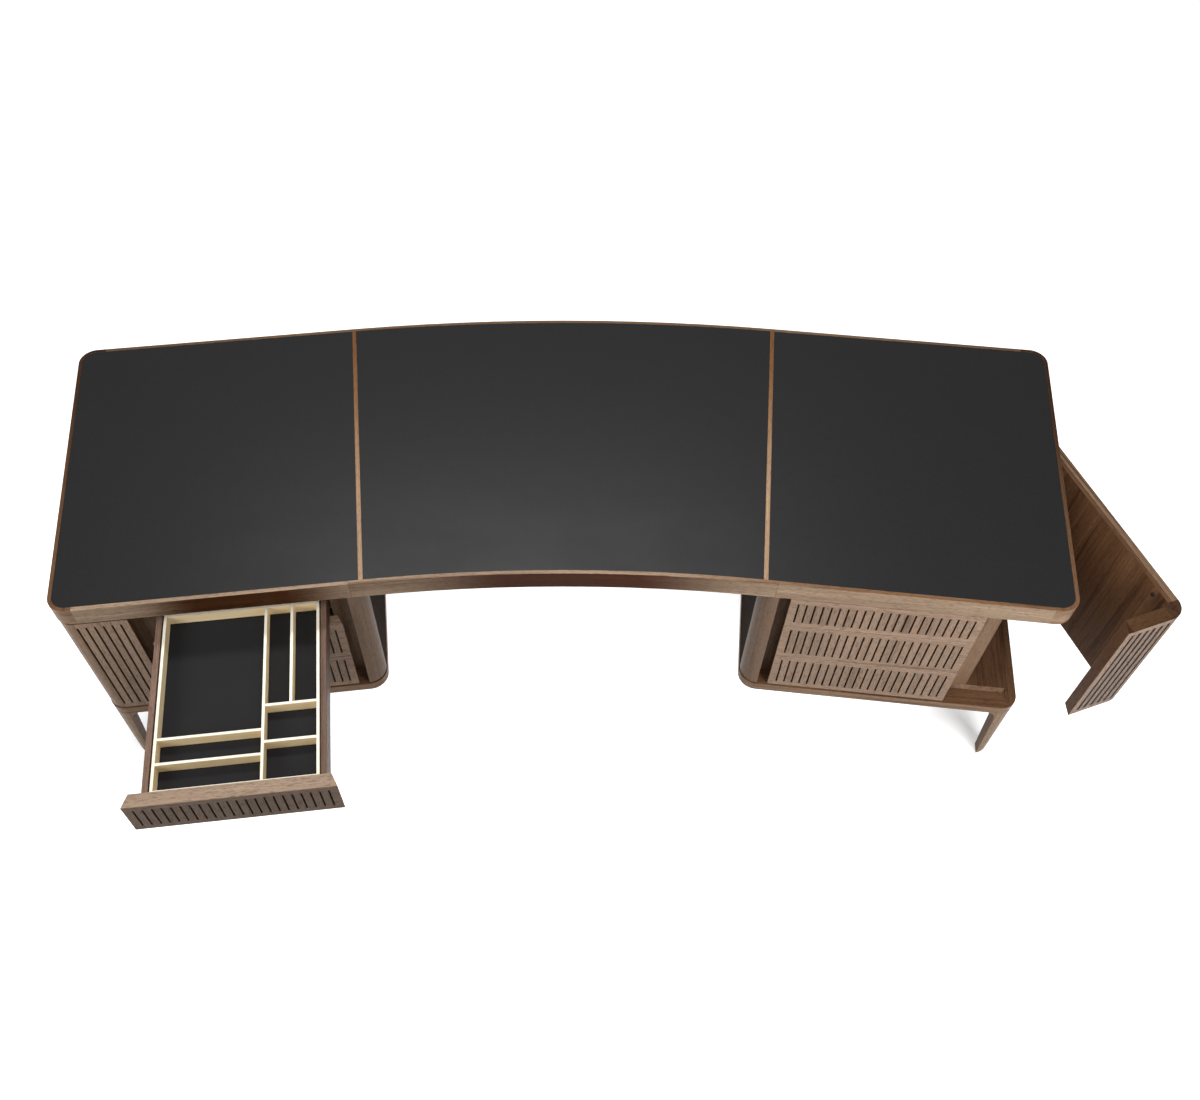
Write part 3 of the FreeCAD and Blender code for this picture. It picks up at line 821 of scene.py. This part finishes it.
doors = {
    "pivotAcross": 0.744,  # on the wing's plan
    "pivotDepth": 0.659,
    "open": {"left": 0.0, "right": math.radians(26.3)},  # at rest
    "slats": {"first": 0.599, "pitch": 0.021, "count": 6, "margin": 0.018, **slotTints},
    # painted shade: the open right door's slats are painted darker, with wider painted shade beside its
    # slots, than the left door's
    "tonesAndShade": {
        "left": {"darkest": 0.96, "lightest": 1.06, "ease": 0.0028},
        "right": {"darkest": 0.72, "lightest": 0.84, "ease": 0.0054},
    },
    # painted shade on the faces that look inwards: the door sides' inner faces and the fronts' free edges
    "insideShadeTint": (0.82, 0.64, 0.50, 1),
    "freeEdgeShadeTint": (0.53, 0.37, 0.26, 1),
    "frontTopTint": (0.29, 0.21, 0.135, 1),
    "endGrainTint": (0.30, 0.24, 0.21, 1),
    "sideLipping": {"line": 0.734, "axis": "Z", "tint": (0.55, 0.46, 0.40, 1)},
    "frontLipping": {"line": 0.594, "axis": "Z", "tint": (0.60, 0.52, 0.46, 1)},
    "seeds": {"left": 51.0, "right": 61.0},
    "cornerSeed": 0.4,
    "frontSeed": 0.9,
}


def doorPivot(side):
    return Vector((*placeOnWing(doors["pivotAcross"], doors["pivotDepth"], sides[side]), 0))


def dressDoor(side):
    inward = -sides[side]
    seed = doors["seeds"][side]
    swing = {"turn": (doorPivot(side), -doors["open"][side])} if doors["open"][side] else {}
    sideFaces = [faceTint("X", inward, doors["insideShadeTint"])]
    cornerFaces = [faceTint("Z", 0, doors["endGrainTint"]), faceTint("X", inward, insideShadeTint)]
    frontFaces = [faceTint("X", inward, doors["freeEdgeShadeTint"]), faceTint("Z", 0, doors["frontTopTint"])]
    sideFinish = {"level": "depth", "faces": sideFaces, "lipping": doors["sideLipping"], **swing}
    dressWood(f"{side}_door_side", stripedWalnut, "rise", seed, **sideFinish)
    cornerSeed = seed + doors["cornerSeed"]
    dressWood(f"{side}_door_corner", walnut, "rise", cornerSeed, faces=cornerFaces, **swing)
    front = f"{side}_door_front"
    slats = {**slatsOn(front, doors["slats"]), **doors["tonesAndShade"][side]}
    frontFinish = {"level": "run", "faces": frontFaces, "lipping": doors["frontLipping"], **swing}
    dressWood(front, paleWalnut, "rise", seed + doors["frontSeed"], slats=slats, **frontFinish)


catch = {  # its place on the wing's plan with the door shut
    "across": 0.7218,
    "depth": 0.090,
    "height": 0.674,
    "profile": (  # radius and height, from the crown to the rim
        (0.0, 0.0042),
        (0.0028, 0.0041),
        (0.0042, 0.0033),
        (0.0047, 0.0020),
        (0.0047, 0.0008),
        (0.0060, 0.0),
    ),
    "steps": 32,
}


def makeCatch(side, material):
    out = sides[side]
    shape = bmesh.new()
    rim = [shape.verts.new((radius, 0, height)) for radius, height in catch["profile"]]
    edges = [shape.edges.new(pair) for pair in zip(rim, rim[1:])]
    bmesh.ops.spin(
        shape,
        geom=rim + edges,
        axis=(0, 0, 1),
        cent=(0, 0, 0),
        angle=math.tau,
        steps=catch["steps"],
    )
    bmesh.ops.remove_doubles(shape, verts=shape.verts, dist=1e-6)
    inward = Vector((-out * math.cos(deskPlan["wingAngle"]), math.sin(deskPlan["wingAngle"]), 0))
    place = Matrix.Translation((*placeOnWing(catch["across"], catch["depth"], out), catch["height"]))
    place = place @ inward.to_track_quat("Z", "Y").to_matrix().to_4x4()
    if doors["open"][side]:
        pivot = doorPivot(side)
        swing = Matrix.Rotation(doors["open"][side], 4, "Z")
        place = Matrix.Translation(pivot) @ swing @ Matrix.Translation(-pivot) @ place
    shape.transform(place)
    bmesh.ops.recalc_face_normals(shape, faces=shape.faces)
    mesh = bpy.data.meshes.new(f"{side}_catch_stud")
    shape.to_mesh(mesh)
    shape.free()
    mesh.shade_smooth()
    mesh.materials.append(material)
    stud = bpy.data.objects.new(f"{side}_catch_stud", mesh)
    bpy.context.scene.collection.objects.link(stud)
    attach(stud, f"{side}_door")


# Tray, liner and steel

tray = {
    "maple": {
        "dark": (0.62, 0.46, 0.25, 1),
        "mid": (0.86, 0.69, 0.42, 1),
        "light": (0.90, 0.76, 0.52, 1),
        "contrast": 0.9,
        "pores": 0.12,
        "specular": 0.3,
        "edge": 0.0008,
    },
    "rimLightTint": (0.92, 1.06, 1.45, 1),  # painted highlight: the upper edges are painted paler
    "liner": {
        "deep": (0.008, 0.008, 0.009, 1),
        "face": (0.015, 0.0145, 0.015, 1),
        "fuzzCells": (1800, 1800, 1800),
        "cloudCells": (14, 14, 14),
        "fuzzShare": 0.7,
        "cloudShare": 0.3,
        "roughness": (0.86, 0.96),
        "specular": 0.2,
        "edge": 0.001,
    },
    "seed": 9.0,
}
steel = {
    "dull": (0.36, 0.36, 0.37, 1),
    "bright": (0.62, 0.62, 0.63, 1),
    "lineCells": (8, 900, 900),
    "spangleCells": (60, 90, 90),
    "roughness": (0.46, 0.30),
    "edge": 0.0005,
}


def dressTray(lining):
    rims = [faceTint("Z", 1, tray["rimLightTint"])]
    maple = woodMaterial("paleMaple", tray["maple"], "depth", tray["seed"], ends="run", faces=rims)
    dress("organiser_tray", maple)
    dress("tray_liner", lining)


def dressSteel():
    metal = steelMaterial(steel)
    for node in nodes:
        if node.endswith("_rails") or node == "pivot_pins":
            dress(node, metal)


blackLiner = linerMaterial(tray["liner"])
dressTop()
for side in sides:
    dressPedestal(side)
    dressDrawers(side)
    dressDoor(side)
    makeCatch(side, blackLiner)
    print(side, "pedestal, drawers and door dressed")
dressTray(blackLiner)
dressSteel()
print("finishes on", sum(1 for piece in nodes.values() if piece.data.materials), "pieces")


# Floor, light and camera

studio = {
    "floorSize": 30.0,
    "floorCells": (3, 3, 3),
    "floorMottle": (0.97, 1.0),
    "floorGreys": ((0.44, 0.44, 0.44, 1), (0.48, 0.48, 0.48, 1)),
    "floorShade": (0.9, 0.9, 0.9, 1),
    "shadows": (  # where the floor's own shade shows: under each pedestal and by its outer front leg
        {"place": (-0.95, -0.03, 0.0), "reach": (0.12, 0.52), "light": 0.40},
        {"place": (0.95, -0.03, 0.0), "reach": (0.12, 0.52), "light": 0.40},
        {"place": (-1.17, -0.50, 0.0), "reach": (0.08, 0.22), "light": 0.42},
        {"place": (1.15, -0.49, 0.0), "reach": (0.05, 0.24), "light": 0.34},
    ),
    "ambient": (0.94, 0.97, 1.0, 1),
    "ambientStrength": 0.15,
}


def seenRays(tree):
    # camera, mirror and glass rays, which should meet the white of the studio
    path = addNode(tree, "ShaderNodeLightPath").outputs
    seen = calc(tree, "MAXIMUM", path["Is Camera Ray"], path["Is Glossy Ray"])
    return calc(tree, "MAXIMUM", seen, path["Is Transmission Ray"])


def chooseByRay(tree, unseen, seen, surface):
    choose = addNode(tree, "ShaderNodeMixShader")
    feed(tree, choose.inputs[0], seenRays(tree))
    feed(tree, choose.inputs[1], unseen.outputs[0])
    feed(tree, choose.inputs[2], seen.outputs[0])
    feed(tree, surface, choose.outputs[0])


def floorMaterial():
    material, tree, surface = blankMaterial("paleFloor")
    place = addNode(tree, "ShaderNodeTexCoord").outputs["Object"]
    mottled = noise(tree, place, studio["floorCells"], detail=3.0)
    grey = ramp(tree, mottled, *noiseBand, *studio["floorMottle"])
    soft = addNode(tree, "ShaderNodeBsdfDiffuse")
    feed(tree, soft.inputs["Color"], mixColour(tree, grey, *studio["floorGreys"]))
    shadow = addNode(tree, "ShaderNodeBsdfDiffuse")
    shadow.inputs["Color"].default_value = studio["floorShade"]
    glow = 1.0
    for shade in studio["shadows"]:
        away = addNode(tree, "ShaderNodeVectorMath", operation="DISTANCE")
        feed(tree, away.inputs[0], place)
        away.inputs[1].default_value = shade["place"]
        light = ramp(tree, away.outputs["Value"], *shade["reach"], shade["light"], 1.0)
        glow = calc(tree, "MINIMUM", glow, light)
    white = addNode(tree, "ShaderNodeEmission")
    feed(tree, white.inputs["Strength"], glow)
    shown = addNode(tree, "ShaderNodeAddShader")
    feed(tree, shown.inputs[0], shadow.outputs[0])
    feed(tree, shown.inputs[1], white.outputs[0])
    chooseByRay(tree, soft, shown, surface)
    return material


def makeFloor():
    mesh = bpy.data.meshes.new("studioFloor")
    half = studio["floorSize"] / 2
    corners = [(-half, -half, 0), (half, -half, 0), (half, half, 0), (-half, half, 0)]
    mesh.from_pydata(corners, [], [(0, 1, 2, 3)])
    mesh.materials.append(floorMaterial())
    floor = bpy.data.objects.new("studioFloor", mesh)
    bpy.context.scene.collection.objects.link(floor)


def makeWorld():
    world = bpy.data.worlds.new("studio")
    bpy.context.scene.world = world
    world.use_nodes = True
    tree = world.node_tree
    tree.nodes.clear()
    ambient = addNode(tree, "ShaderNodeBackground")
    ambient.inputs["Color"].default_value = studio["ambient"]
    ambient.inputs["Strength"].default_value = studio["ambientStrength"]
    white = addNode(tree, "ShaderNodeBackground")
    white.inputs["Color"].default_value = (1, 1, 1, 1)
    output = addNode(tree, "ShaderNodeOutputWorld")
    chooseByRay(tree, ambient, white, output.inputs["Surface"])


lamps = {  # power in watts, spread in degrees
    "overhead": {
        "place": (0.0, -1.0, 2.2),
        "aim": (0.0, 0.0, 0.75),
        "size": (2.6, 0.9),
        "power": 22,
        "spread": 180,
    },
    "keyRight": {
        "place": (1.7, -2.1, 1.6),
        "aim": (0.85, -0.35, 0.5),
        "size": (1.2, 1.2),
        "power": 12,
        "spread": 75,
    },
    "keyLeft": {
        "place": (-2.2, -1.4, 1.6),
        "aim": (-0.8, -0.3, 0.6),
        "size": (1.0, 1.0),
        "power": 9.5,
        "spread": 100,
    },
    "sheen": {
        "place": (-0.27, 0.95, 3.2),
        "aim": (-0.22, -0.5, 0.75),
        "size": (2.05, 0.4),
        "power": 20.5,
        "spread": 100,
    },
}


def makeLamp(name, lamp):
    data = bpy.data.lights.new(name, "AREA")
    data.shape = "RECTANGLE"
    data.size, data.size_y = lamp["size"]
    data.energy = lamp["power"]
    data.spread = math.radians(lamp["spread"])
    thing = bpy.data.objects.new(name, data)
    thing.visible_camera = False
    bpy.context.scene.collection.objects.link(thing)
    thing.location = lamp["place"]
    direction = Vector(lamp["aim"]) - Vector(lamp["place"])
    thing.rotation_euler = direction.to_track_quat("-Z", "Y").to_euler()


camera = {  # worked out from the photograph's straight edges
    "place": (0.0, -2.0982, 3.1434),
    "tilt": math.radians(33.98),
    "lens": 35.50,
    "sensor": 36.0,
    "shift": (0.0306, 0.0335),
}


def makeCamera():
    data = bpy.data.cameras.new("photoCamera")
    data.sensor_width = camera["sensor"]
    data.lens = camera["lens"]
    data.shift_x, data.shift_y = camera["shift"]
    thing = bpy.data.objects.new("photoCamera", data)
    thing.location = camera["place"]
    thing.rotation_euler = (camera["tilt"], 0, 0)
    bpy.context.scene.collection.objects.link(thing)
    bpy.context.scene.camera = thing


makeFloor()
makeWorld()
for name, lamp in lamps.items():
    makeLamp(name, lamp)
makeCamera()
bpy.context.scene.view_settings.view_transform = "Standard"
print("studio ready")
